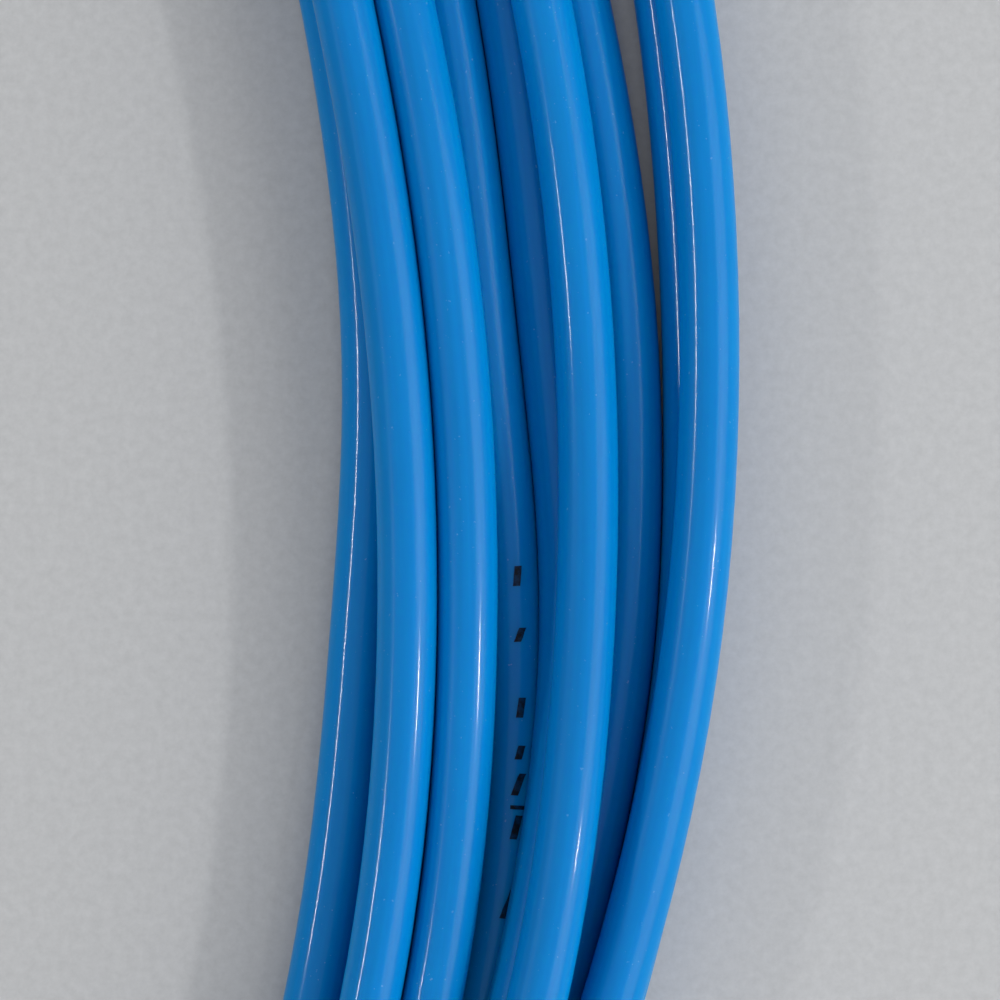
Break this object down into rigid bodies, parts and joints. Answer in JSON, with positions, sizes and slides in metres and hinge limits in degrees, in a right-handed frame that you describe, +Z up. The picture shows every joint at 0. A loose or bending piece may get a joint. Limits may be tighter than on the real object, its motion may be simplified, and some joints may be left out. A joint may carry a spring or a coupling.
{
  "type": "coiled air hose",
  "caption": "Blue polyurethane air hose wound in a flat ring of loose turns, held by cable ties, with a sprung quick coupler socket and a plug.",
  "frame": {"origin": "centre of the wound ring, on the surface it lies on", "axes": "+Z up, along the ring's axis; +X the way the mouths of both fittings face"},
  "size_m": [0.5202, 0.5202, 0.0238],
  "materials": {
    "hose": "glossy blue polyurethane tube",
    "tie": "black nylon",
    "brass": "turned brass",
    "nickel": "nickel plated, fine turning marks",
    "spring": "drawn spring steel wire",
    "ball": "polished steel",
    "rubber": "black nitrile rubber",
    "fibre": "red fibre gasket"
  },
  "bodies": {
    "root": {"hose_coil": "hose", "hose_tail_socket": "hose", "hose_tail_plug": "hose", "tie_1": "tie", "tie_2": "tie", "tie_3": "tie", "tie_4": "tie", "coupler_body": "brass", "sleeve_stop_ring": "spring", "sleeve_spring": "spring", "plug_seal": "rubber", "valve_spring": "spring", "coupler_tail": "nickel", "tail_gasket": "fibre", "coupler_nut": "nickel", "coupler_guard": "spring", "plug_nipple": "nickel", "plug_nut": "nickel", "plug_guard": "spring"},
    "sleeve": {"coupler_sleeve": "nickel"},
    "valve": {"valve_poppet": "brass", "valve_seal": "rubber"},
    "ball_1": {"locking_ball_1": "ball"},
    "ball_2": {"locking_ball_2": "ball"},
    "ball_3": {"locking_ball_3": "ball"},
    "ball_4": {"locking_ball_4": "ball"},
    "ball_5": {"locking_ball_5": "ball"},
    "ball_6": {"locking_ball_6": "ball"}
  },
  "joints": [
    {"name": "sleeve_slide", "type": "slide", "parent": "root", "child": "sleeve", "axis": [-1, 0, 0], "range_m": [0, 0.0035], "stiffness_N_per_m": 1000, "springref_m": -0.008, "deforming": ["sleeve_spring"]},
    {"name": "valve_slide", "type": "slide", "parent": "root", "child": "valve", "axis": [-1, 0, 0], "range_m": [0, 0.002], "stiffness_N_per_m": 150, "springref_m": -0.008, "deforming": ["valve_spring"]},
    {"name": "ball_slide_1", "type": "slide", "parent": "root", "child": "ball_1", "axis": [0, -0.866, 0.5], "range_m": [0, 0.00072]},
    {"name": "ball_slide_2", "type": "slide", "parent": "root", "child": "ball_2", "axis": [0, 0, 1], "range_m": [0, 0.00072]},
    {"name": "ball_slide_3", "type": "slide", "parent": "root", "child": "ball_3", "axis": [0, 0.866, 0.5], "range_m": [0, 0.00072]},
    {"name": "ball_slide_4", "type": "slide", "parent": "root", "child": "ball_4", "axis": [0, 0.866, -0.5], "range_m": [0, 0.00072]},
    {"name": "ball_slide_5", "type": "slide", "parent": "root", "child": "ball_5", "axis": [0, 0, -1], "range_m": [0, 0.00072]},
    {"name": "ball_slide_6", "type": "slide", "parent": "root", "child": "ball_6", "axis": [0, -0.866, -0.5], "range_m": [0, 0.00072]}
  ],
  "couplings": [
    {"joint": "ball_slide_1", "follows": "sleeve_slide", "ratio": 0.20571},
    {"joint": "ball_slide_2", "follows": "sleeve_slide", "ratio": 0.20571},
    {"joint": "ball_slide_3", "follows": "sleeve_slide", "ratio": 0.20571},
    {"joint": "ball_slide_4", "follows": "sleeve_slide", "ratio": 0.20571},
    {"joint": "ball_slide_5", "follows": "sleeve_slide", "ratio": 0.20571},
    {"joint": "ball_slide_6", "follows": "sleeve_slide", "ratio": 0.20571}
  ]
}
